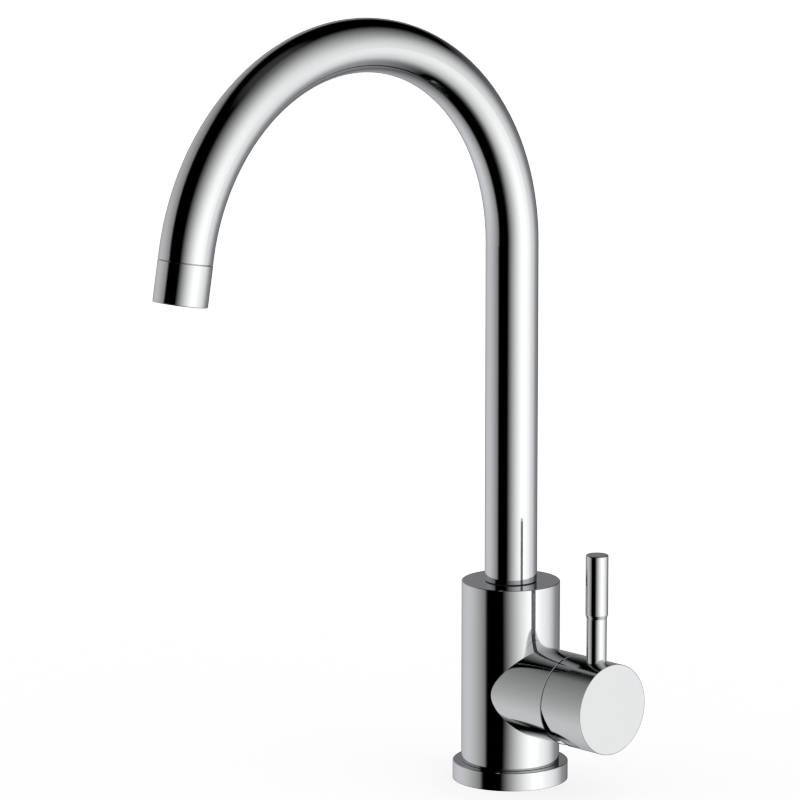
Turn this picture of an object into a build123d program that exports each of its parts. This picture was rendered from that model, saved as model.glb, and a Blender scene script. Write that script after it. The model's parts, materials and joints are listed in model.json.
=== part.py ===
from build123d import *
import math
import os

os.makedirs("parts", exist_ok=True)

# Side-lever mixer tap with a swivelling gooseneck spout.
# The origin is the centre of the underside. +Z is up, the spout points to -Y
# and the cartridge branch, with the handle on its end, points to +X.
# Every size is in millimetres, every angle in degrees.

# Clearances
run_clear = 0.08          # radial play of a turning or sliding fit
film = 0.05               # gap between faces that rub, such as the ceramic discs
loose = 0.1               # play of a part that is dropped into its seat
face_gap = 0.3            # gap between faces that pass each other
seal_float = 0.03         # a seal stands this far off the floor of its groove

# Base ring and deck gasket
ring_h = 8.9              # height of the base ring
ring_lip = 4.25           # how far the ring stands out from the body
gasket_inset = 2.2        # ring edge to gasket groove
gasket_w = 3.2            # radial width of the gasket
gasket_t = 2.0            # thickness of the gasket

# Body
body_d = 48.0
foot_step = 4.0           # radial step from the body to the foot inside the ring
body_below_branch = 15.7  # base ring to the lowest line of the branch
body_above_branch = 30.3  # highest line of the branch to the top of the body
branch_wall = 3.2         # branch wall round the nut thread
pocket_floor_x = 12.0     # body axis to the floor of the cartridge pocket
edge_break = 0.25         # bevel on the outside edges
fine_break = 0.12         # bevel on the front rims of the handle cap and the outlet

# Connections in the underside
hose_thread_d = 10.0      # M10 x 1 inlet
hose_thread_depth = 14.0
hose_pitch = 17.0         # hot inlet to cold inlet
stud_d = 8.0              # M8 fixing stud
stud_depth = 15.0
stud_offset = 12.5        # body axis to stud axis
inlet_way_d = 6.0         # drilled way above each inlet
mixed_way_d = 7.0         # drilled way from the cartridge up to the spout
mixed_way_inset = 0.5     # edge of the mixed way to the wall of the spout's bore

# Cartridge
cartridge_d = 34.0
nut_step = 1.9            # nut thread radius beyond the cartridge pocket
base_t = 6.0              # thickness of the cartridge base
peg_d = 3.8               # locating pegs under the cartridge base
peg_len = 2.5
peg_x = 10.0              # peg position across the branch
peg_y = -10.0             # peg position below the branch axis
port_in_d = 5.2           # hot and cold ports through the cartridge
port_in_x = 6.5           # port position across the branch
port_in_y = 3.0           # port position above the branch axis
port_out_d = 6.0          # mixed-water port
port_out_y = -6.0         # port position below the branch axis
seal_w = 1.3              # radial width of a port seal
seal_t = 1.5              # thickness of a port seal
disc_gasket_t = 1.0
fixed_disc_d = 26.0
fixed_disc_t = 3.5
disc_seat = 1.5           # depth that the fixed disc sinks into the base
key_d = 2.8               # lugs that keep the fixed disc from turning
moving_disc_d = 23.0
moving_disc_t = 3.5
mix_depth = 1.8           # depth of the mixing recess in the moving disc
mix_d = 10.6              # wide end of the mixing recess
mix_y = -1.0              # centre of the wide end
mix_tail_d = 7.0          # narrow end, always over the mixed-water port
mix_tail_y = -4.5         # centre of the narrow end
carrier_t = 3.45          # plate of the disc carrier
lug_w = 3.0               # lugs that tie the carrier to the moving disc
lug_depth = 2.0
lug_h = 1.2
tongue_w = 12.0           # guide tongue on the carrier
tongue_len = 18.0
tongue_h = 3.0
turret_plate_t = 4.9      # turret plate inside the shell
turret_neck_d = 19.0      # turret neck through the shell
neck_stand = 0.75         # how far the neck stands out past the branch rim
shell_wall = 2.0
stop_angle = 45.0         # turn of the turret from the middle to each stop
stop_rib_angle = 16.0     # angle that the stop rib covers
stop_rib_h = 1.4          # how far the stop rib stands in
stop_spare = 1.0          # angle left between rib and cut-out at each stop
nut_t = 5.6
nut_bore_d = 25.0
nut_slot_w = 4.0          # four key slots in the nut
nut_slot_depth = 2.0
cover_t = 3.25            # trim ring in front of the nut
cover_recess = 0.3        # branch rim to trim ring
oring_d = 1.78            # section of the spigot seals
neck_oring_d = 1.0        # section of the turret seal

# Spindle and pivot
flow_angle = 18.0         # tilt of the handle from shut to fully open
pivot_inset = 4.0         # neck end to pivot axis
pin_d = 3.0
spindle_w = 8.0           # width of the bar, along the pivot pin
spindle_h = 9.0           # height of the bar
arm_d = 3.8               # inner arm
ball_d = 5.0              # ball on the inner arm
ball_floor = 0.2          # room under the ball

# Handle cap
cap_gap = 0.48            # branch rim to handle cap
cap_len = 26.74
cap_wall = 3.0
cap_front_t = 4.0
relief_spare = 1.1        # angle of the lower rim beyond the handle's tilt
boss_wall = 2.4
boss_len = 13.5
boss_sunk = 1.0           # how far the boss runs into the cap's front
spindle_tip_gap = 2.8     # spindle tip to the inside of the cap's front

# Lever and its grub screw
lever_inset = 11.08       # front of the cap to the lever's axis
lever_seat_depth = 1.2    # counterbore in the cap that takes the lever's foot
stem_d = 9.55
stem_len = 21.45          # cap surface to the shoulder
grip_d = 10.7
grip_len = 29.35
shoulder_h = 1.85         # taper from the stem to the grip
lever_round = 0.5         # rounding at the top of the grip
lever_thread_d = 6.0
grub_len = 4.2
grub_point_h = 1.2
grub_point_r = 1.0
grub_socket = 3.0         # across the flats
grub_socket_depth = 2.1
lever_boss_wall = 2.6

# Spout
tube_d = 25.4
tube_wall = 1.2
riser_len = 167.55        # straight tube from the body to the bend
bend_r = 105.5            # centreline
bend_angle = 170.0
tail_len = 3.4            # straight tube after the bend

# Spigot that carries the spout in the body
spigot_step = 2.2         # tube outside to bore in the body, radially
spigot_wall = 2.9
spigot_in_tube = 12.0
bush_len = 6.0
bush_wall = 1.0
bush_flange_t = 0.8
bush_flange_inset = 0.6   # tube outside to flange edge, radially
bush_stand = 0.2          # how far the flange stands out of the body
lock_depth = 10.5         # top of the body to the lock screw
lock_screw_d = 5.0
lock_dog_d = 3.4
lock_sunk = 0.8           # head of the lock screw below the body's surface
lock_socket = 2.5         # across the flats
lock_socket_depth = 2.5
groove_depth = 1.5        # lock groove in the spigot
first_oring = 4.7         # lock groove to the first seal
oring_pitch = 4.0
slide_ring_gap = 4.2      # last seal to the slide ring
slide_ring_w = 3.0
slide_ring_t = 1.0
slide_ring_slit = 1.2
spigot_end = 3.0          # slide ring to the spigot's end
spigot_floor = 0.6        # room under the spigot

# Outlet
sleeve_step = 0.06        # how far the sleeve stands out from the tube, radially
sleeve_gap = 0.15         # open joint between the tube and the sleeve
sleeve_len = 19.6         # tube end to the mouth of the outlet
sleeve_wall = 1.76
nipple_len = 8.6
nipple_wall = 1.6
outlet_gasket_t = 1.4
outlet_gasket_w = 2.2
screen_t = 0.6
screen_hole_d = 1.8
screen_pitch = 2.8
lip_t = 1.0
lip_w = 1.0
core_wall = 1.3
grid_t = 1.6
cell_d = 2.9              # across the corners of a jet-breaker cell
cell_pitch = 3.3

# Sizes that follow from the ones above
body_r = body_d / 2
ring_r = body_r + ring_lip
foot_r = body_r - foot_step
cartridge_r = cartridge_d / 2
pocket_r = cartridge_r + loose
thread_r = pocket_r + nut_step
branch_r = thread_r + branch_wall
branch_z = ring_h + body_below_branch + branch_r
body_top = branch_z + branch_r + body_above_branch

gasket_outer_r = ring_r - gasket_inset
gasket_inner_r = gasket_outer_r - gasket_w

# Stack of the cartridge along the branch
shell_x = pocket_floor_x + base_t
fixed_disc_x = shell_x - disc_seat
disc_gasket_x = fixed_disc_x - disc_gasket_t
moving_disc_x = fixed_disc_x + fixed_disc_t + film
carrier_x = moving_disc_x + moving_disc_t
tongue_x = carrier_x + carrier_t
tongue_top_x = tongue_x + tongue_h
turret_x = tongue_x + loose
guide_end_x = tongue_top_x + face_gap
turret_top_x = turret_x + turret_plate_t
shell_ceiling_x = turret_top_x + loose
nut_x = shell_ceiling_x + shell_wall
cover_x = nut_x + nut_t
branch_reach = cover_x + cover_t + cover_recess
neck_end_x = branch_reach + neck_stand
pivot_x = neck_end_x - pivot_inset

lean = flow_angle / 2     # the shut spindle leans up by half its swing
arm_len = pivot_x - tongue_x
disc_shift = arm_len * math.sin(math.radians(lean))
shell_bore_r = cartridge_r - shell_wall
neck_r = turret_neck_d / 2
slot_half = spindle_h / 2 + pivot_inset * math.tan(math.radians(lean)) + 2 * face_gap

rib_tip_r = shell_bore_r - stop_rib_h
stop_cut_angle = stop_angle + stop_rib_angle / 2 + stop_spare
neck_seal_x = shell_ceiling_x + shell_wall / 2

cap_x = branch_reach + cap_gap
cap_front_x = cap_x + cap_len
cap_inner_x = cap_front_x - cap_front_t
lever_x = cap_front_x - lever_inset
spindle_out = (cap_inner_x - pivot_x) / math.cos(math.radians(lean)) - spindle_tip_gap
socket_w = spindle_w + 2 * film
socket_h = spindle_h + 2 * film
boss_r = math.hypot(socket_w, socket_h) / 2 + boss_wall
boss_end = (cap_inner_x - pivot_x) / math.cos(math.radians(lean)) + boss_sunk
boss_start = boss_end - boss_sunk - boss_len
lever_boss_r = lever_thread_d / 2 + lever_boss_wall
relief_angle = math.radians(flow_angle + relief_spare)
relief_h = 2 * branch_r

spindle_flat = spindle_h / 2 + (lever_x - pivot_x) * math.sin(math.radians(lean))
spindle_flat_z = branch_z + spindle_flat / math.cos(math.radians(lean))
grub_z = spindle_flat_z + grub_point_r * math.tan(math.radians(lean)) + film
lever_seat_z = branch_z + branch_r - lever_seat_depth
lever_foot_z = grub_z + grub_len + face_gap
shoulder_z = branch_z + branch_r + stem_len
lever_top_z = shoulder_z + shoulder_h + grip_len

tube_r = tube_d / 2
tube_bore_r = tube_r - tube_wall
bore_r = tube_r - spigot_step
flange_r = tube_r - bush_flange_inset
flange_z = body_top + bush_stand - bush_flange_t
spigot_r = bore_r - run_clear
spigot_bore_r = spigot_r - spigot_wall
lock_z = body_top - lock_depth
lock_groove_w = lock_dog_d + 2 * face_gap
oring_z = [lock_z - first_oring, lock_z - first_oring - oring_pitch]
slide_ring_z = oring_z[-1] - slide_ring_gap
spigot_z = slide_ring_z - spigot_end
bore_floor_z = spigot_z - spigot_floor
oring_groove_r = spigot_r - oring_d
slide_groove_r = spigot_r - slide_ring_t
spout_z = body_top + bush_stand + film
bend_z = spout_z + riser_len
mixed_way_x = bore_r - mixed_way_d / 2 - mixed_way_inset

sleeve_r = tube_r + sleeve_step
sleeve_bore_r = sleeve_r - sleeve_wall
lip_x = sleeve_len - lip_t
outlet_gasket_x = nipple_len
screen_x = outlet_gasket_x + outlet_gasket_t
core_x = screen_x + screen_t
core_r = sleeve_bore_r - loose


def across_branch(x):
    """Plane square to the branch at x: its first axis is +Y, its second +Z."""
    return Plane(origin=(x, 0, branch_z), x_dir=(0, 1, 0), z_dir=(1, 0, 0))


def level(z):
    """Plane level with the deck at height z."""
    return Plane.XY.offset(z)


# Axis of the shut spindle, through the pivot
lean_plane = Plane(
    origin=(pivot_x, 0, branch_z),
    x_dir=(0, 1, 0),
    z_dir=(math.cos(math.radians(lean)), 0, math.sin(math.radians(lean))),
)

# Side view of the spindle: first axis along it, second axis upward
spindle_side = Plane(origin=lean_plane.origin, x_dir=lean_plane.z_dir, z_dir=(0, -1, 0))
pivot_plane = Plane(origin=lean_plane.origin, x_dir=(1, 0, 0), z_dir=(0, 1, 0))
lever_side = Plane(origin=(lever_x, 0, 0), x_dir=(1, 0, 0), z_dir=(0, -1, 0))
lever_axis = Axis((lever_x, 0, 0), (0, 0, 1))
lock_plane = Plane(origin=(0, 0, lock_z), x_dir=(1, 0, 0), z_dir=(0, 1, 0))

# Upright plane of the spout: first axis toward the outlet, second axis upward
spout_plane = Plane(origin=(0, 0, bend_z), x_dir=(0, -1, 0), z_dir=(-1, 0, 0))

# End of the spout tube, looking out of the outlet
bend_end = math.radians(bend_angle)
tail_dir = Vector(0, -math.sin(bend_end), math.cos(bend_end))
tail_start = Vector(
    0,
    -bend_r * (1 - math.cos(bend_end)),
    bend_z + bend_r * math.sin(bend_end),
)
tube_end = tail_start + tail_dir * tail_len


def along_outlet(distance):
    """Plane square to the outlet, a distance past the end of the tube."""
    return Plane(origin=tube_end + tail_dir * distance, x_dir=(1, 0, 0), z_dir=tail_dir)


def honeycomb(pitch, reach):
    """Centres of a honeycomb whose points lie within reach of its middle."""
    rows = math.ceil(reach / pitch) * 2 + 1
    cells = HexLocations(pitch / 2, rows, rows)
    return [cell for cell in cells if Vector(cell.position).length < reach]


# Base ring, with the gasket groove in its underside
with BuildPart() as base_ring:
    with BuildSketch(level(0)):
        Circle(ring_r)
        Circle(foot_r + loose, mode=Mode.SUBTRACT)
    extrude(amount=ring_h)
    with BuildSketch(level(0)):
        Circle(gasket_outer_r)
        Circle(gasket_inner_r, mode=Mode.SUBTRACT)
    extrude(amount=gasket_t, mode=Mode.SUBTRACT)
    chamfer(base_ring.edges().group_by(Axis.Z)[-1].sort_by(SortBy.RADIUS)[-1], edge_break)
base_ring.part.label = "base_ring"
export_step(base_ring.part, "parts/base_ring.step")

with BuildPart() as deck_gasket:
    with BuildSketch(level(0)):
        Circle(gasket_outer_r)
        Circle(gasket_inner_r, mode=Mode.SUBTRACT)
    extrude(amount=gasket_t)
deck_gasket.part.label = "deck_gasket"
export_step(deck_gasket.part, "parts/deck_gasket.step")

# Body: upright, foot and branch in one casting, then its bores and waterways
with BuildPart() as tap_body:
    with BuildSketch(level(ring_h)):
        Circle(body_r)
    extrude(amount=body_top - ring_h)
    chamfer(tap_body.edges().filter_by(GeomType.CIRCLE), edge_break)
    with BuildSketch(level(0)):
        Circle(foot_r)
    extrude(amount=ring_h)
    with BuildSketch(across_branch(0)):
        Circle(branch_r)
    extrude(amount=branch_reach)
    chamfer(tap_body.edges().group_by(Axis.X)[-1], edge_break)
    # Cartridge pocket and the nut thread in front of it
    with BuildSketch(across_branch(pocket_floor_x)):
        Circle(pocket_r)
    extrude(amount=branch_reach - pocket_floor_x, mode=Mode.SUBTRACT)
    with BuildSketch(across_branch(nut_x - loose)):
        Circle(thread_r)
    extrude(amount=branch_reach - nut_x + loose, mode=Mode.SUBTRACT)
    with BuildSketch(across_branch(pocket_floor_x)):
        with Locations((peg_x, peg_y), (-peg_x, peg_y)):
            Circle(peg_d / 2 + loose)
    extrude(amount=-(peg_len + face_gap), mode=Mode.SUBTRACT)
    # Seat of the spout
    with BuildSketch(level(bore_floor_z)):
        Circle(bore_r)
    extrude(amount=body_top - bore_floor_z, mode=Mode.SUBTRACT)
    with BuildSketch(level(body_top - bush_len)):
        Circle(bore_r + bush_wall)
    extrude(amount=bush_len, mode=Mode.SUBTRACT)
    with BuildSketch(level(flange_z)):
        Circle(flange_r + loose)
    extrude(amount=body_top - flange_z, mode=Mode.SUBTRACT)
    with BuildSketch(lock_plane):
        Circle(lock_screw_d / 2)
    extrude(amount=body_r, mode=Mode.SUBTRACT)
    # Hose and stud threads, then the ways to and from the cartridge
    with BuildSketch(level(0)):
        with Locations((0, hose_pitch / 2), (0, -hose_pitch / 2)):
            Circle(hose_thread_d / 2)
    extrude(amount=hose_thread_depth, mode=Mode.SUBTRACT)
    with BuildSketch(level(0)):
        with Locations((-stud_offset, 0)):
            Circle(stud_d / 2)
    extrude(amount=stud_depth, mode=Mode.SUBTRACT)
    with BuildSketch(level(0)):
        with Locations((0, hose_pitch / 2), (0, -hose_pitch / 2)):
            Circle(inlet_way_d / 2)
    extrude(amount=branch_z + port_in_y + port_in_d / 2, mode=Mode.SUBTRACT)
    with BuildSketch(across_branch(pocket_floor_x)):
        with Locations((port_in_x, port_in_y), (-port_in_x, port_in_y)):
            Circle(port_in_d / 2)
    extrude(amount=-pocket_floor_x, mode=Mode.SUBTRACT)
    with BuildSketch(across_branch(pocket_floor_x)):
        with Locations((0, port_out_y)):
            Circle(port_out_d / 2)
    extrude(amount=-(pocket_floor_x + mixed_way_x), mode=Mode.SUBTRACT)
    with BuildSketch(level(bore_floor_z)):
        with Locations((-mixed_way_x, 0)):
            Circle(mixed_way_d / 2)
    extrude(amount=branch_z + port_out_y - port_out_d / 2 - bore_floor_z, mode=Mode.SUBTRACT)
tap_body.part.label = "tap_body"
export_step(tap_body.part, "parts/tap_body.step")

# Cartridge base: ports, pegs, seal seats and the keyed seat of the fixed disc
with BuildPart() as cartridge_base:
    with BuildSketch(across_branch(pocket_floor_x)):
        Circle(cartridge_r)
    extrude(amount=base_t)
    with BuildSketch(across_branch(pocket_floor_x)):
        with Locations((peg_x, peg_y), (-peg_x, peg_y)):
            Circle(peg_d / 2)
    extrude(amount=-peg_len)
    with BuildSketch(across_branch(disc_gasket_x)):
        Circle(fixed_disc_d / 2)
        with Locations((fixed_disc_d / 2, 0), (-fixed_disc_d / 2, 0)):
            Circle(key_d / 2, mode=Mode.SUBTRACT)
    extrude(amount=shell_x - disc_gasket_x, mode=Mode.SUBTRACT)
    with BuildSketch(across_branch(pocket_floor_x)):
        with Locations((port_in_x, port_in_y), (-port_in_x, port_in_y)):
            Circle(port_in_d / 2 + seal_w)
        with Locations((0, port_out_y)):
            Circle(port_out_d / 2 + seal_w)
    extrude(amount=seal_t, mode=Mode.SUBTRACT)
    with BuildSketch(across_branch(pocket_floor_x)):
        with Locations((port_in_x, port_in_y), (-port_in_x, port_in_y)):
            Circle(port_in_d / 2)
        with Locations((0, port_out_y)):
            Circle(port_out_d / 2)
    extrude(amount=base_t, mode=Mode.SUBTRACT)
cartridge_base.part.label = "cartridge_base"
export_step(cartridge_base.part, "parts/cartridge_base.step")

# The three rubber rings round the ports, as one group
with BuildPart() as port_seals:
    with BuildSketch(across_branch(pocket_floor_x)):
        with Locations((port_in_x, port_in_y), (-port_in_x, port_in_y)):
            Circle(port_in_d / 2 + seal_w)
        with Locations((0, port_out_y)):
            Circle(port_out_d / 2 + seal_w)
        with Locations((port_in_x, port_in_y), (-port_in_x, port_in_y)):
            Circle(port_in_d / 2, mode=Mode.SUBTRACT)
        with Locations((0, port_out_y)):
            Circle(port_out_d / 2, mode=Mode.SUBTRACT)
    extrude(amount=seal_t)
port_seals.part.label = "port_seals"
export_step(port_seals.part, "parts/port_seals.step")

with BuildPart() as disc_gasket:
    with BuildSketch(across_branch(disc_gasket_x)):
        Circle(fixed_disc_d / 2 - loose)
        with Locations((fixed_disc_d / 2, 0), (-fixed_disc_d / 2, 0)):
            Circle(key_d / 2 + loose, mode=Mode.SUBTRACT)
        with Locations((port_in_x, port_in_y), (-port_in_x, port_in_y)):
            Circle(port_in_d / 2, mode=Mode.SUBTRACT)
        with Locations((0, port_out_y)):
            Circle(port_out_d / 2, mode=Mode.SUBTRACT)
    extrude(amount=disc_gasket_t)
disc_gasket.part.label = "disc_gasket"
export_step(disc_gasket.part, "parts/disc_gasket.step")

with BuildPart() as fixed_disc:
    with BuildSketch(across_branch(fixed_disc_x)):
        Circle(fixed_disc_d / 2 - loose)
        with Locations((fixed_disc_d / 2, 0), (-fixed_disc_d / 2, 0)):
            Circle(key_d / 2 + loose, mode=Mode.SUBTRACT)
        with Locations((port_in_x, port_in_y), (-port_in_x, port_in_y)):
            Circle(port_in_d / 2, mode=Mode.SUBTRACT)
        with Locations((0, port_out_y)):
            Circle(port_out_d / 2, mode=Mode.SUBTRACT)
    extrude(amount=fixed_disc_t)
fixed_disc.part.label = "fixed_disc"
export_step(fixed_disc.part, "parts/fixed_disc.step")

# Moving disc, drawn shut: its centre lies below the branch axis by disc_shift
with BuildPart() as moving_disc:
    with BuildSketch(across_branch(moving_disc_x)):
        with Locations((0, -disc_shift)):
            Circle(moving_disc_d / 2)
    extrude(amount=moving_disc_t)
    with BuildSketch(across_branch(moving_disc_x)):
        with Locations((0, mix_y - disc_shift)):
            Circle(mix_d / 2)
        with Locations((0, mix_tail_y - disc_shift)):
            Circle(mix_tail_d / 2)
        make_hull()
    extrude(amount=mix_depth, mode=Mode.SUBTRACT)
    with BuildSketch(across_branch(carrier_x)):
        with Locations((moving_disc_d / 2, -disc_shift), (-moving_disc_d / 2, -disc_shift)):
            Rectangle(2 * (lug_depth + loose), lug_w + 2 * loose)
    extrude(amount=-(lug_h + loose), mode=Mode.SUBTRACT)
moving_disc.part.label = "moving_disc"
export_step(moving_disc.part, "parts/moving_disc.step")

# Disc carrier: lugs into the disc, guide tongue into the turret, ball pocket
with BuildPart() as disc_carrier:
    with BuildSketch(across_branch(carrier_x)):
        with Locations((0, -disc_shift)):
            Circle(moving_disc_d / 2)
    extrude(amount=carrier_t)
    with BuildSketch(across_branch(carrier_x)):
        with Locations((0, -disc_shift)):
            Circle(moving_disc_d / 2)
        with Locations((0, -disc_shift)):
            Rectangle(moving_disc_d, lug_w, mode=Mode.INTERSECT)
        with Locations((0, -disc_shift)):
            Rectangle(moving_disc_d - 2 * lug_depth, lug_w, mode=Mode.SUBTRACT)
    extrude(amount=-lug_h)
    with BuildSketch(across_branch(tongue_x)):
        with Locations((0, -disc_shift)):
            Rectangle(tongue_w, tongue_len)
    extrude(amount=tongue_h)
    with BuildSketch(across_branch(tongue_top_x)):
        with Locations((0, -disc_shift)):
            Circle(ball_d / 2 + film)
    extrude(amount=-(tongue_h + ball_d / 2 + ball_floor), mode=Mode.SUBTRACT)
disc_carrier.part.label = "disc_carrier"
export_step(disc_carrier.part, "parts/disc_carrier.step")

# Cartridge shell: cup over the discs, with the stop rib beside the turret plate
with BuildPart() as cartridge_shell:
    with BuildSketch(across_branch(shell_x)):
        Circle(cartridge_r)
        Circle(shell_bore_r, mode=Mode.SUBTRACT)
    extrude(amount=nut_x - shell_x)
    with BuildSketch(across_branch(shell_ceiling_x)):
        Circle(cartridge_r)
        Circle(neck_r + run_clear, mode=Mode.SUBTRACT)
    extrude(amount=shell_wall)
    with BuildSketch(across_branch(turret_x)):
        with BuildLine():
            rib_root = CenterArc((0, 0), cartridge_r - loose, -stop_rib_angle / 2, stop_rib_angle)
            rib_tip = CenterArc((0, 0), rib_tip_r, -stop_rib_angle / 2, stop_rib_angle)
            Line(rib_root @ 0, rib_tip @ 0)
            Line(rib_root @ 1, rib_tip @ 1)
        make_face()
    extrude(amount=nut_x - turret_x)
cartridge_shell.part.label = "cartridge_shell"
export_step(cartridge_shell.part, "parts/cartridge_shell.step")

# Turret: guide for the carrier below, stop cut-out in the rim, slotted neck above
with BuildPart() as turret:
    with BuildSketch(across_branch(turret_x)):
        Circle(shell_bore_r - run_clear)
        with BuildLine():
            cut_rim = CenterArc((0, 0), cartridge_r, -stop_cut_angle, 2 * stop_cut_angle)
            cut_root = CenterArc((0, 0), rib_tip_r - face_gap, -stop_cut_angle, 2 * stop_cut_angle)
            Line(cut_rim @ 0, cut_root @ 0)
            Line(cut_rim @ 1, cut_root @ 1)
        make_face(mode=Mode.SUBTRACT)
    extrude(amount=turret_plate_t)
    with BuildSketch(across_branch(turret_top_x)):
        Circle(neck_r)
    extrude(amount=neck_end_x - turret_top_x)
    with BuildSketch(across_branch(turret_x)):
        Rectangle(tongue_w + 2 * run_clear, tongue_len + 2 * (disc_shift + face_gap))
    extrude(amount=guide_end_x - turret_x, mode=Mode.SUBTRACT)
    with BuildSketch(across_branch(guide_end_x)):
        Rectangle(spindle_w + 2 * run_clear, 2 * slot_half)
    extrude(amount=neck_end_x - guide_end_x, mode=Mode.SUBTRACT)
    with BuildSketch(across_branch(neck_seal_x - neck_oring_d / 2 - loose)):
        Circle(neck_r + face_gap)
        Circle(neck_r - neck_oring_d, mode=Mode.SUBTRACT)
    extrude(amount=neck_oring_d + 2 * loose, mode=Mode.SUBTRACT)
    with BuildSketch(pivot_plane):
        Circle(pin_d / 2)
    extrude(amount=neck_r, both=True, mode=Mode.SUBTRACT)
turret.part.label = "turret"
export_step(turret.part, "parts/turret.step")

with BuildPart() as turret_oring:
    with Locations(Location(across_branch(neck_seal_x))):
        Torus(neck_r - neck_oring_d / 2 + seal_float, neck_oring_d / 2)
turret_oring.part.label = "turret_oring"
export_step(turret_oring.part, "parts/turret_oring.step")

with BuildPart() as pivot_pin:
    with BuildSketch(pivot_plane):
        Circle(pin_d / 2)
    extrude(amount=neck_r - face_gap, both=True)
    chamfer(pivot_pin.edges().filter_by(GeomType.CIRCLE), edge_break)
pivot_pin.part.label = "pivot_pin"
export_step(pivot_pin.part, "parts/pivot_pin.step")

# Retaining nut with four key slots in its face
with BuildPart() as cartridge_nut:
    with BuildSketch(across_branch(nut_x)):
        Circle(thread_r)
        Circle(nut_bore_d / 2, mode=Mode.SUBTRACT)
    extrude(amount=nut_t)
    with BuildSketch(across_branch(cover_x)):
        Rectangle(2 * branch_r, nut_slot_w)
        Rectangle(nut_slot_w, 2 * branch_r)
    extrude(amount=-nut_slot_depth, mode=Mode.SUBTRACT)
cartridge_nut.part.label = "cartridge_nut"
export_step(cartridge_nut.part, "parts/cartridge_nut.step")

with BuildPart() as cover_ring:
    with BuildSketch(across_branch(cover_x)):
        Circle(thread_r - loose)
        Circle(neck_r + face_gap, mode=Mode.SUBTRACT)
    extrude(amount=cover_t)
    chamfer(cover_ring.edges().group_by(Axis.X)[-1], edge_break)
cover_ring.part.label = "cover_ring"
export_step(cover_ring.part, "parts/cover_ring.step")

# Spindle: flat bar outside the pivot, thin arm and ball inside it
with BuildPart() as spindle:
    with BuildSketch(spindle_side):
        Circle(spindle_h / 2)
        Rectangle(spindle_out, spindle_h, align=(Align.MIN, Align.CENTER))
    extrude(amount=spindle_w / 2, both=True)
    chamfer(spindle.faces().sort_by(Axis.X)[-1].edges(), 2 * edge_break)
    with BuildSketch(lean_plane):
        Circle(arm_d / 2)
    extrude(amount=-arm_len)
    with Locations(Location(lean_plane.offset(-arm_len))):
        Sphere(ball_d / 2)
    with BuildSketch(spindle_side):
        Circle(pin_d / 2 + run_clear)
    extrude(amount=spindle_w, both=True, mode=Mode.SUBTRACT)
spindle.part.label = "spindle"
export_step(spindle.part, "parts/spindle.step")

# Handle cap: cup with a leaning socket boss, a lever boss and a relieved lower rim
with BuildPart() as handle_cap:
    with BuildSketch(across_branch(cap_x)):
        Circle(branch_r)
    extrude(amount=cap_len)
    chamfer(handle_cap.edges().group_by(Axis.X)[0], edge_break)
    chamfer(handle_cap.edges().group_by(Axis.X)[-1], fine_break)
    with BuildSketch(across_branch(cap_x)):
        Circle(branch_r - cap_wall)
    extrude(amount=cap_inner_x - cap_x, mode=Mode.SUBTRACT)
    with BuildSketch(lean_plane.offset(boss_end)):
        Circle(boss_r)
    extrude(amount=-(boss_end - boss_start))
    with BuildSketch(level(branch_z + boss_r / 2)):
        with Locations((lever_x, 0)):
            Circle(lever_boss_r)
            Rectangle(lever_inset, 2 * lever_boss_r, align=(Align.MIN, Align.CENTER))
    extrude(amount=math.sqrt(branch_r**2 - lever_boss_r**2) - boss_r / 2 - cap_wall / 2)
    with BuildSketch(lean_plane.offset(boss_start)):
        Rectangle(socket_w, socket_h)
    extrude(amount=spindle_out + face_gap - boss_start, mode=Mode.SUBTRACT)
    with BuildSketch(level(branch_z + socket_h / 2)):
        with Locations((lever_x, 0)):
            Circle(lever_thread_d / 2)
    extrude(amount=branch_r, mode=Mode.SUBTRACT)
    with BuildSketch(level(lever_seat_z)):
        with Locations((lever_x, 0)):
            Circle(stem_d / 2 + film)
    extrude(amount=branch_r, mode=Mode.SUBTRACT)
    with BuildSketch(Plane.XZ):
        with BuildLine():
            Polyline(
                (cap_x - cap_wall, branch_z),
                (cap_x, branch_z),
                (cap_x + relief_h * math.tan(relief_angle), branch_z - relief_h),
                (cap_x - cap_wall, branch_z - relief_h),
                close=True,
            )
        make_face()
    extrude(amount=relief_h, both=True, mode=Mode.SUBTRACT)
handle_cap.part.label = "handle_cap"
export_step(handle_cap.part, "parts/handle_cap.step")

# Grub screw under the lever: its point clamps the spindle in the socket
with BuildPart() as handle_grub_screw:
    with BuildSketch(lever_side):
        with BuildLine():
            Polyline(
                (0, grub_z),
                (grub_point_r, grub_z),
                (lever_thread_d / 2, grub_z + grub_point_h),
                (lever_thread_d / 2, grub_z + grub_len),
                (0, grub_z + grub_len),
                close=True,
            )
        make_face()
    revolve(axis=lever_axis)
    with BuildSketch(level(grub_z + grub_len)):
        with Locations((lever_x, 0)):
            RegularPolygon(grub_socket / 2, 6, major_radius=False)
    extrude(amount=-grub_socket_depth, mode=Mode.SUBTRACT)
handle_grub_screw.part.label = "handle_grub_screw"
export_step(handle_grub_screw.part, "parts/handle_grub_screw.step")

# Lever: threaded foot, slim stem, and a thicker grip above a short taper
with BuildPart() as lever:
    with BuildSketch(lever_side):
        with BuildLine():
            Polyline(
                (0, lever_foot_z),
                (lever_thread_d / 2, lever_foot_z),
                (lever_thread_d / 2, lever_seat_z),
                (stem_d / 2, lever_seat_z),
                (stem_d / 2, shoulder_z),
                (grip_d / 2, shoulder_z + shoulder_h),
                (grip_d / 2, lever_top_z),
                (0, lever_top_z),
                close=True,
            )
        make_face()
    revolve(axis=lever_axis)
    fillet(lever.edges().group_by(Axis.Z)[-1], lever_round)
lever.part.label = "lever"
export_step(lever.part, "parts/lever.step")

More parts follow.
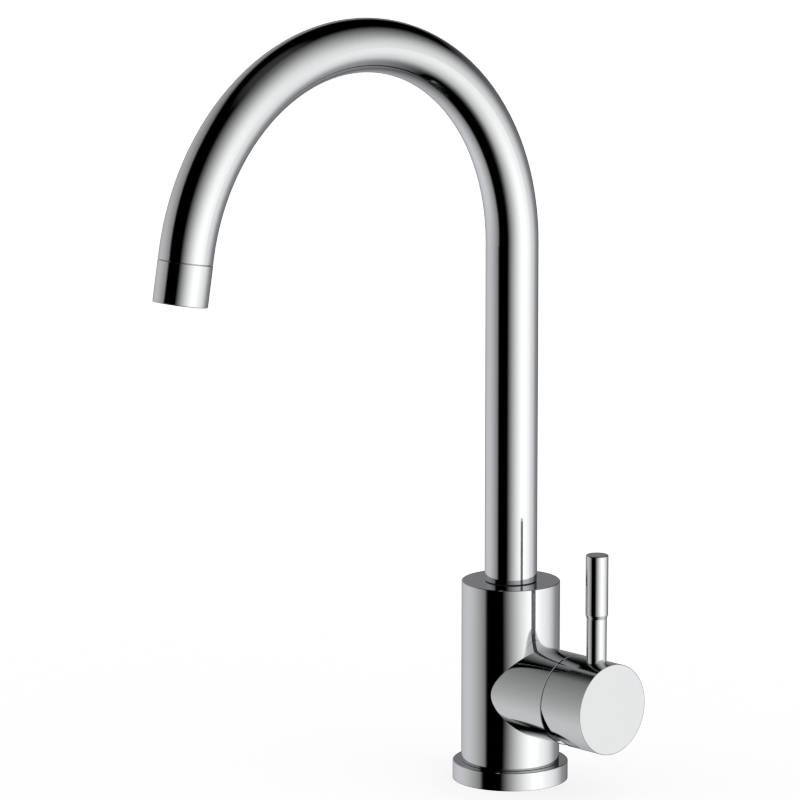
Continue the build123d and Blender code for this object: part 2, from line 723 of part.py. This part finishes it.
# Spout tube: riser, round bend and a short straight tail
with BuildPart() as spout_tube:
    with BuildLine(spout_plane) as spout_line:
        Line((0, -riser_len), (0, 0))
        spout_bend = CenterArc((bend_r, 0), bend_r, 180, -bend_angle)
        Line(spout_bend @ 1, spout_bend @ 1 + (spout_bend % 1) * tail_len)
    with BuildSketch(level(spout_z)):
        Circle(tube_r)
        Circle(tube_bore_r, mode=Mode.SUBTRACT)
    sweep(path=spout_line.line)
    end_faces = spout_tube.faces().filter_by(GeomType.PLANE)
    chamfer([face.outer_wire().edges()[0] for face in end_faces], edge_break)
spout_tube.part.label = "spout_tube"
export_step(spout_tube.part, "parts/spout_tube.step")

# Spigot: upper half in the tube, lower half grooved for lock screw, seals and ring
with BuildPart() as spout_spigot:
    with BuildSketch(level(spigot_z)):
        Circle(spigot_r)
    extrude(amount=spout_z - spigot_z)
    with BuildSketch(level(spout_z)):
        Circle(tube_bore_r)
    extrude(amount=spigot_in_tube)
    with BuildSketch(level(spigot_z)):
        Circle(spigot_bore_r)
    extrude(amount=spout_z + spigot_in_tube - spigot_z, mode=Mode.SUBTRACT)
    with BuildSketch(level(lock_z - lock_groove_w / 2)):
        Circle(bore_r)
        Circle(spigot_r - groove_depth, mode=Mode.SUBTRACT)
    extrude(amount=lock_groove_w, mode=Mode.SUBTRACT)
    for seal_z in oring_z:
        with BuildSketch(level(seal_z - oring_d / 2 - loose)):
            Circle(bore_r)
            Circle(oring_groove_r, mode=Mode.SUBTRACT)
        extrude(amount=oring_d + 2 * loose, mode=Mode.SUBTRACT)
    with BuildSketch(level(slide_ring_z - slide_ring_w / 2 - loose)):
        Circle(bore_r)
        Circle(slide_groove_r, mode=Mode.SUBTRACT)
    extrude(amount=slide_ring_w + 2 * loose, mode=Mode.SUBTRACT)
spout_spigot.part.label = "spout_spigot"
export_step(spout_spigot.part, "parts/spout_spigot.step")

with BuildPart() as spigot_orings:
    with Locations(*[(0, 0, seal_z) for seal_z in oring_z]):
        Torus(oring_groove_r + oring_d / 2 + seal_float, oring_d / 2)
spigot_orings.part.label = "spigot_orings"
export_step(spigot_orings.part, "parts/spigot_orings.step")

# Split slide ring, snapped into its groove
with BuildPart() as slide_ring:
    with BuildSketch(level(slide_ring_z - slide_ring_w / 2)):
        Circle(bore_r - film)
        Circle(slide_groove_r, mode=Mode.SUBTRACT)
        Rectangle(bore_r, slide_ring_slit, align=(Align.MIN, Align.CENTER), mode=Mode.SUBTRACT)
    extrude(amount=slide_ring_w)
slide_ring.part.label = "slide_ring"
export_step(slide_ring.part, "parts/slide_ring.step")

# Bush between the body and the spout, with its flange sunk in the body's top
with BuildPart() as spout_bush:
    with BuildSketch(level(body_top - bush_len)):
        Circle(bore_r + bush_wall)
    extrude(amount=bush_len)
    with BuildSketch(level(flange_z)):
        Circle(flange_r)
    extrude(amount=bush_flange_t)
    with BuildSketch(level(body_top - bush_len)):
        Circle(bore_r)
    extrude(amount=bush_len + bush_stand, mode=Mode.SUBTRACT)
spout_bush.part.label = "spout_bush"
export_step(spout_bush.part, "parts/spout_bush.step")

# Dog-point screw at the back of the body: its dog runs in the lock groove
with BuildPart() as spout_lock_screw:
    with BuildSketch(lock_plane.offset(bore_r + loose)):
        Circle(lock_screw_d / 2)
    extrude(amount=body_r - lock_sunk - bore_r - loose)
    with BuildSketch(lock_plane.offset(spigot_r - groove_depth + face_gap)):
        Circle(lock_dog_d / 2)
    extrude(amount=bore_r + loose - (spigot_r - groove_depth + face_gap))
    with BuildSketch(lock_plane.offset(body_r - lock_sunk)):
        RegularPolygon(lock_socket / 2, 6, major_radius=False)
    extrude(amount=-lock_socket_depth, mode=Mode.SUBTRACT)
spout_lock_screw.part.label = "spout_lock_screw"
export_step(spout_lock_screw.part, "parts/spout_lock_screw.step")

# Outlet nipple, brazed into the tube's straight tail
with BuildPart() as outlet_nipple:
    with BuildSketch(along_outlet(-tail_len)):
        Circle(tube_bore_r)
    extrude(amount=tail_len)
    with BuildSketch(along_outlet(0)):
        Circle(sleeve_bore_r)
    extrude(amount=nipple_len)
    with BuildSketch(along_outlet(-tail_len)):
        Circle(sleeve_bore_r - nipple_wall)
    extrude(amount=tail_len + nipple_len, mode=Mode.SUBTRACT)
outlet_nipple.part.label = "outlet_nipple"
export_step(outlet_nipple.part, "parts/outlet_nipple.step")

# Outlet sleeve: screws onto the nipple and holds the jet breaker on its lip
with BuildPart() as outlet_sleeve:
    with BuildSketch(along_outlet(sleeve_gap)):
        Circle(sleeve_r)
    extrude(amount=sleeve_len - sleeve_gap)
    chamfer(outlet_sleeve.edges().filter_by(GeomType.CIRCLE).sort_by(Axis.Z)[-1], edge_break)
    chamfer(outlet_sleeve.edges().filter_by(GeomType.CIRCLE).sort_by(Axis.Z)[0], fine_break)
    with BuildSketch(along_outlet(0)):
        Circle(sleeve_bore_r)
    extrude(amount=lip_x, mode=Mode.SUBTRACT)
    with BuildSketch(along_outlet(lip_x)):
        Circle(sleeve_bore_r - lip_w)
    extrude(amount=lip_t, mode=Mode.SUBTRACT)
outlet_sleeve.part.label = "outlet_sleeve"
export_step(outlet_sleeve.part, "parts/outlet_sleeve.step")

with BuildPart() as outlet_gasket:
    with BuildSketch(along_outlet(outlet_gasket_x)):
        Circle(core_r)
        Circle(core_r - outlet_gasket_w, mode=Mode.SUBTRACT)
    extrude(amount=outlet_gasket_t)
outlet_gasket.part.label = "outlet_gasket"
export_step(outlet_gasket.part, "parts/outlet_gasket.step")

# Inlet screen of the jet breaker
with BuildPart() as outlet_screen:
    with BuildSketch(along_outlet(screen_x)):
        Circle(core_r)
        with Locations(*honeycomb(screen_pitch, core_r - outlet_gasket_w - screen_hole_d / 2)):
            Circle(screen_hole_d / 2, mode=Mode.SUBTRACT)
    extrude(amount=screen_t)
outlet_screen.part.label = "outlet_screen"
export_step(outlet_screen.part, "parts/outlet_screen.step")

# Jet breaker: open ring with a honeycomb face at the mouth of the outlet
with BuildPart() as jet_breaker:
    with BuildSketch(along_outlet(core_x)):
        Circle(core_r)
        Circle(core_r - core_wall, mode=Mode.SUBTRACT)
    extrude(amount=lip_x - core_x)
    with BuildSketch(along_outlet(lip_x)):
        Circle(core_r)
        with Locations(*honeycomb(cell_pitch, core_r - core_wall - cell_d / 2)):
            RegularPolygon(cell_d / 2, 6, mode=Mode.SUBTRACT)
    extrude(amount=-grid_t)
jet_breaker.part.label = "jet_breaker"
export_step(jet_breaker.part, "parts/jet_breaker.step")
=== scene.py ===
import json
import math

import bpy
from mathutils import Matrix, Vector

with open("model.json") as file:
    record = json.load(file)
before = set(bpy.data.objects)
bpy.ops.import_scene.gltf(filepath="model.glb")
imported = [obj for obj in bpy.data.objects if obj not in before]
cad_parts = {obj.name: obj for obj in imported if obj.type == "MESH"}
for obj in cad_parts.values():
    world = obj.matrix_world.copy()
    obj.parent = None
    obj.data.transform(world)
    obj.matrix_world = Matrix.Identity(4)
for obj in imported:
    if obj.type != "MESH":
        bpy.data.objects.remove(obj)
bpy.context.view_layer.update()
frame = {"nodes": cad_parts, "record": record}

# Lengths are in metres and angles in degrees, unless a line says otherwise.
# A light or a glow of strength 1 is white.
white = Vector((1.0, 1.0, 1.0))
white_strength = 1.0
straight_up = Vector((0.0, 0.0, 1.0))
right_angle = 90.0
half_turn = 180.0

# Camera, at the photograph's viewing angle. Its heading is counted round from +X, and its lens
# and sensor are in millimetres.
camera_place = Vector((1.96748, -1.92607, 0.72976))
camera_heading = 136.74
camera_pitch = -11.108
camera_lens = 259.15
sensor_width = 36.0

# The studio stands square to that view: to the viewer's right, towards the viewer, and up
heading = math.radians(camera_heading)
pitch = math.radians(camera_pitch)
to_right = Vector((math.sin(heading), -math.cos(heading), 0.0))
to_viewer = -Vector(
    (math.cos(heading) * math.cos(pitch), math.sin(heading) * math.cos(pitch), math.sin(pitch))
)
to_top = to_viewer.cross(to_right)

# Light on matt surfaces and the floor: an even share from all round, and two square lamps that
# face the object. Their places are two angles in the studio and a distance. Power is in watts.
room_light = 0.88
lamps = [
    {"name": "key_lamp", "across": 48, "upward": 42, "distance": 2.4, "size": 2.0, "power": 12},
    {"name": "fill_lamp", "across": -75, "upward": 32, "distance": 2.6, "size": 1.8, "power": 7},
]

# The floor, and the share of it that is plain white to the camera, which leaves the shadow faint
floor_size = 30.0
floor_colour = (0.8, 0.8, 0.79, 1.0)
floor_glow = 0.75

# Soft panels that the chrome mirrors. middle is a panel's brightest point, across to the viewer's
# right and upward, and reach is how far away from it the panel has fallen to nothing: to the left,
# to the right, up and down. Each fall has a bend and a roundness. An edge cuts a panel off in a
# straight line: the two angles of the direction that it faces, and the width of its fading.
key_panel = {
    "middle": (57, -17),
    "reach": (79, 77, 104, 78),
    "strength": 2.04,
    "fall_across": (1.4, 1.3),
    "fall_upward": (1.2, 1.8),
    "edges": [(49, 26, 24), (60, -12, 17), (48, -14, 14)],
}
fill_panel = {
    "middle": (-132, -25),
    "reach": (83, 92, 86, 50),
    "strength": 1.13,
    "fall_across": (1.7, 1.5),
    "fall_upward": (1.15, 0.75),
    "edges": [(-145, 17, 10), (-161, -19, 9), (-120, -39, 11)],
}
rear_panel = {
    "middle": (129, -24),
    "reach": (53, 48, 52, 37),
    "strength": 0.54,
    "fall_across": (2.6, 1.7),
    "fall_upward": (1.7, 0.85),
    "edges": [],
}

# How far the crease at a panel's brightest point is rounded off, as a share of its reach
crest = 0.08

# A dim round panel straight overhead, so that the tap isn't quite black from above
ceiling_reach = 24
ceiling_strength = 0.06

# Tints of the panels in front of the object and behind it
front_tint = Vector((1.0, 0.992, 0.978))
rear_tint = Vector((1.0, 0.992, 1.035))

# Finishes, by material slot. The colour drifts slowly between two, and a fine grain takes the
# roughness from its lower to its upper end and makes the bump. grain is the grain's size and depth
# the bump's height. stretch under 1 draws the grain out along an axis. edge_tint dims what a metal
# mirrors near its outline.
drift_scale = 40.0
drift_detail = 2.0
grain_detail = 3.0
looks = {
    "chrome": {
        "colours": ((0.505, 0.515, 0.525), (0.515, 0.525, 0.535)),
        "roughness": (0.05, 0.09),
        "grain": 0.012,
        "depth": 0.000004,
        "metallic": 1.0,
        "edge_tint": 0.8,
    },
    "brass": {
        "colours": ((0.72, 0.53, 0.25), (0.82, 0.63, 0.34)),
        "roughness": (0.18, 0.34),
        "grain": 0.0006,
        "depth": 0.00001,
        "metallic": 1.0,
        "stretch": (0.2, 0.2, 1.0),
    },
    "steel": {
        "colours": ((0.58, 0.58, 0.585), (0.66, 0.66, 0.665)),
        "roughness": (0.2, 0.38),
        "grain": 0.0004,
        "depth": 0.000008,
        "metallic": 1.0,
        "stretch": (0.2, 1.0, 0.2),
    },
    "ceramic": {
        "colours": ((0.86, 0.85, 0.82), (0.92, 0.91, 0.88)),
        "roughness": (0.12, 0.24),
        "grain": 0.0008,
        "depth": 0.000004,
    },
    "cartridge_plastic": {
        "colours": ((0.68, 0.69, 0.7), (0.76, 0.77, 0.78)),
        "roughness": (0.38, 0.55),
        "grain": 0.0005,
        "depth": 0.00001,
    },
    "black_plastic": {
        "colours": ((0.022, 0.022, 0.023), (0.04, 0.04, 0.041)),
        "roughness": (0.35, 0.55),
        "grain": 0.0004,
        "depth": 0.00001,
    },
    "breaker_plastic": {
        "colours": ((0.5, 0.51, 0.52), (0.6, 0.61, 0.62)),
        "roughness": (0.22, 0.38),
        "grain": 0.0005,
        "depth": 0.000008,
    },
    "rubber": {
        "colours": ((0.03, 0.03, 0.03), (0.055, 0.054, 0.053)),
        "roughness": (0.6, 0.8),
        "grain": 0.0003,
        "depth": 0.000015,
    },
}


class Tree:
    """Adds nodes to the tree of a material or a world. An input is a socket or a plain value."""

    def __init__(self, owner):
        owner.use_nodes = True
        self.tree = owner.node_tree
        self.tree.nodes.clear()

    def feed(self, socket, value):
        if isinstance(value, bpy.types.NodeSocket):
            self.tree.links.new(value, socket)
        else:
            socket.default_value = value

    def add(self, kind, inputs=None, **settings):
        node = self.tree.nodes.new(kind)
        for name, value in settings.items():
            setattr(node, name, value)
        for name, value in (inputs or {}).items():
            self.feed(node.inputs[name], value)
        return node

    def math(self, operation, *values, clamp=False):
        node = self.add("ShaderNodeMath", operation=operation, use_clamp=clamp)
        for socket, value in zip(node.inputs, values):
            self.feed(socket, value)
        return node.outputs["Value"]

    def vector(self, operation, *values, output="Vector"):
        node = self.add("ShaderNodeVectorMath", operation=operation)
        for socket, value in zip(node.inputs, values):
            self.feed(socket, value)
        return node.outputs[output]

    def dot(self, first, second):
        return self.vector("DOT_PRODUCT", first, second, output="Value")

    def scaled(self, vector, amount):
        inputs = {"Vector": vector, "Scale": amount}
        node = self.add("ShaderNodeVectorMath", inputs, operation="SCALE")
        return node.outputs["Vector"]

    def between(self, share, low, high):
        """Takes a share from 0 to 1 to the range from low to high."""
        return self.math("MULTIPLY_ADD", share, high - low, low)

    def rise(self, value, start, end, top=1.0):
        """Rises from 0 to top as the value goes from start to end, gently at both ends."""
        node = self.add(
            "ShaderNodeMapRange",
            {"Value": value, "From Min": start, "From Max": end, "To Max": top},
            interpolation_type="SMOOTHSTEP",
        )
        return node.outputs["Result"]


def studio_direction(across, upward):
    """Unit vector of two angles: round to the viewer's right from the viewer, then up."""
    across = math.radians(across)
    upward = math.radians(upward)
    level = to_right * math.sin(across) + to_viewer * math.cos(across)
    return level * math.cos(upward) + to_top * math.sin(upward)


def fall_off(tree, angle, low_reach, high_reach, bend, roundness):
    """Falls from 1 at angle 0 to 0 at the reach on each side, without a crease at 0."""
    share = tree.math(
        "MAXIMUM",
        tree.math("DIVIDE", angle, high_reach),
        tree.math("DIVIDE", angle, -low_reach),
    )
    hypotenuse = tree.math("SQRT", tree.math("MULTIPLY_ADD", share, share, crest**2))
    full_span = math.hypot(1, crest) - crest
    smooth = tree.math("DIVIDE", tree.math("SUBTRACT", hypotenuse, crest), full_span)
    rest = tree.math("SUBTRACT", 1.0, tree.math("POWER", smooth, bend), clamp=True)
    return tree.math("POWER", rest, roundness)


def soft_panel(tree, ray, middle, reach, strength, fall_across, fall_upward, edges):
    """Brightness of a large soft panel round the object, by the ray's direction."""
    angle_across = tree.math("DEGREES", tree.math("ARCTAN2", ray["right"], ray["viewer"]))
    angle_upward = tree.math("DEGREES", tree.math("ARCSINE", ray["top"]))
    middle_across, middle_upward = middle
    turn = tree.math("SUBTRACT", angle_across, middle_across)
    across = tree.math("WRAP", turn, half_turn, -half_turn)
    upward = tree.math("SUBTRACT", angle_upward, middle_upward)
    left, right, up, down = reach
    bright = tree.math(
        "MULTIPLY",
        fall_off(tree, across, left, right, *fall_across),
        fall_off(tree, upward, down, up, *fall_upward),
    )
    bright = tree.math("MULTIPLY", bright, strength)
    for edge_across, edge_upward, width in edges:
        side = tree.dot(ray["direction"], studio_direction(edge_across, edge_upward))
        half_width = math.radians(width) / 2
        bright = tree.math("MULTIPLY", bright, tree.rise(side, -half_width, half_width))
    return bright


def make_world():
    """White for the camera, even light for matt surfaces, and soft panels for what mirrors."""
    world = bpy.data.worlds.new("studio")
    bpy.context.scene.world = world
    tree = Tree(world)
    direction = tree.add("ShaderNodeTexCoord").outputs["Generated"]
    ray = {
        "direction": direction,
        "right": tree.dot(direction, to_right),
        "top": tree.dot(direction, to_top),
        "viewer": tree.dot(direction, to_viewer),
    }
    key, fill, rear = (
        soft_panel(tree, ray, **panel) for panel in (key_panel, fill_panel, rear_panel)
    )
    height = tree.dot(direction, straight_up)
    ceiling = tree.rise(height, math.cos(math.radians(ceiling_reach)), 1.0, ceiling_strength)
    around = tree.math("ADD", key, tree.math("MAXIMUM", fill, rear))
    bright = tree.math("ADD", around, ceiling)
    behind = tree.math("MULTIPLY", ray["viewer"], -1.0, clamp=True)
    tint = tree.vector("MULTIPLY_ADD", behind, rear_tint - front_tint, front_tint)
    panels = tree.scaled(tint, bright)
    path = tree.add("ShaderNodeLightPath").outputs
    mirrored = tree.math("MAXIMUM", path["Is Glossy Ray"], path["Is Transmission Ray"])
    matt = tree.math("SUBTRACT", 1.0, tree.math("MAXIMUM", mirrored, path["Is Camera Ray"]))
    plain = tree.math("MULTIPLY_ADD", matt, room_light, path["Is Camera Ray"])
    light = tree.vector("ADD", tree.scaled(panels, mirrored), tree.scaled(white, plain))
    background = tree.add("ShaderNodeBackground", {"Color": light, "Strength": white_strength})
    tree.add("ShaderNodeOutputWorld", {"Surface": background.outputs["Background"]})
    world.cycles.sampling_method = "NONE"


def make_lamp(name, across, upward, distance, size, power):
    """A square soft lamp that faces the object, for matt surfaces and the soft shadow."""
    data = bpy.data.lights.new(name, "AREA")
    data.shape = "SQUARE"
    data.size = size
    data.energy = power
    lamp = bpy.data.objects.new(name, data)
    towards = studio_direction(across, upward)
    lamp.location = towards * distance
    lamp.rotation_euler = towards.to_track_quat("Z", "Y").to_euler()
    lamp.visible_glossy = False
    lamp.visible_transmission = False
    bpy.context.scene.collection.objects.link(lamp)


def make_floor():
    """A large pale floor at deck level, white to the camera but for the object's faint shadow."""
    half = floor_size / 2
    corners = [(-half, -half, 0), (half, -half, 0), (half, half, 0), (-half, half, 0)]
    mesh = bpy.data.meshes.new("floor")
    mesh.from_pydata(corners, [], [(0, 1, 2, 3)])
    floor = bpy.data.objects.new("floor", mesh)
    bpy.context.scene.collection.objects.link(floor)
    material = bpy.data.materials.new("pale_floor")
    tree = Tree(material)
    matt = tree.add("ShaderNodeBsdfDiffuse", {"Color": floor_colour}).outputs["BSDF"]
    glow = tree.add("ShaderNodeEmission", {"Strength": white_strength}).outputs["Emission"]
    seen = tree.add("ShaderNodeLightPath").outputs["Is Camera Ray"]
    share = tree.math("MULTIPLY", seen, floor_glow)
    mix = tree.add("ShaderNodeMixShader", {0: share, 1: matt, 2: glow})
    tree.add("ShaderNodeOutputMaterial", {"Surface": mix.outputs["Shader"]})
    mesh.materials.append(material)
    floor.is_shadow_catcher = True
    floor.visible_glossy = False


def make_camera():
    data = bpy.data.cameras.new("camera")
    data.lens = camera_lens
    data.sensor_width = sensor_width
    camera = bpy.data.objects.new("camera", data)
    camera.location = camera_place
    camera.rotation_euler = (
        math.radians(right_angle + camera_pitch),
        0,
        math.radians(camera_heading - right_angle),
    )
    bpy.context.scene.collection.objects.link(camera)
    bpy.context.scene.camera = camera


def finish(
    name, colours, roughness, grain, depth, metallic=0.0, stretch=(1.0, 1.0, 1.0), edge_tint=1.0
):
    """A material with the finish that the values above describe."""
    material = bpy.data.materials.new(name)
    tree = Tree(material)
    place = tree.add("ShaderNodeTexCoord").outputs["Object"]
    drift = tree.add(
        "ShaderNodeTexNoise", {"Vector": place, "Scale": drift_scale, "Detail": drift_detail}
    )
    drawn_out = tree.vector("MULTIPLY", place, stretch)
    fine = tree.add(
        "ShaderNodeTexNoise", {"Vector": drawn_out, "Scale": 1.0 / grain, "Detail": grain_detail}
    ).outputs["Fac"]
    ramp = tree.add("ShaderNodeValToRGB", {"Fac": drift.outputs["Fac"]})
    for stop, colour in zip(ramp.color_ramp.elements, colours):
        stop.color = (*colour, 1.0)
    bump = tree.add("ShaderNodeBump", {"Height": fine, "Strength": 1.0, "Distance": depth})
    shader = tree.add(
        "ShaderNodeBsdfPrincipled",
        {
            "Base Color": ramp.outputs["Color"],
            "Metallic": metallic,
            "Roughness": tree.between(fine, *roughness),
            "Specular Tint": (edge_tint, edge_tint, edge_tint, 1.0),
            "Normal": bump.outputs["Normal"],
        },
    )
    tree.add("ShaderNodeOutputMaterial", {"Surface": shader.outputs["BSDF"]})
    return material


finishes = {slot: finish(slot, **look) for slot, look in looks.items()}
for subpart in frame["record"]["subparts"]:
    for slot in frame["nodes"][subpart["node"]].material_slots:
        slot.material = finishes[subpart["material_slot"]]

make_world()
for lamp in lamps:
    make_lamp(**lamp)
make_floor()
make_camera()

bpy.context.scene.view_settings.view_transform = "Standard"
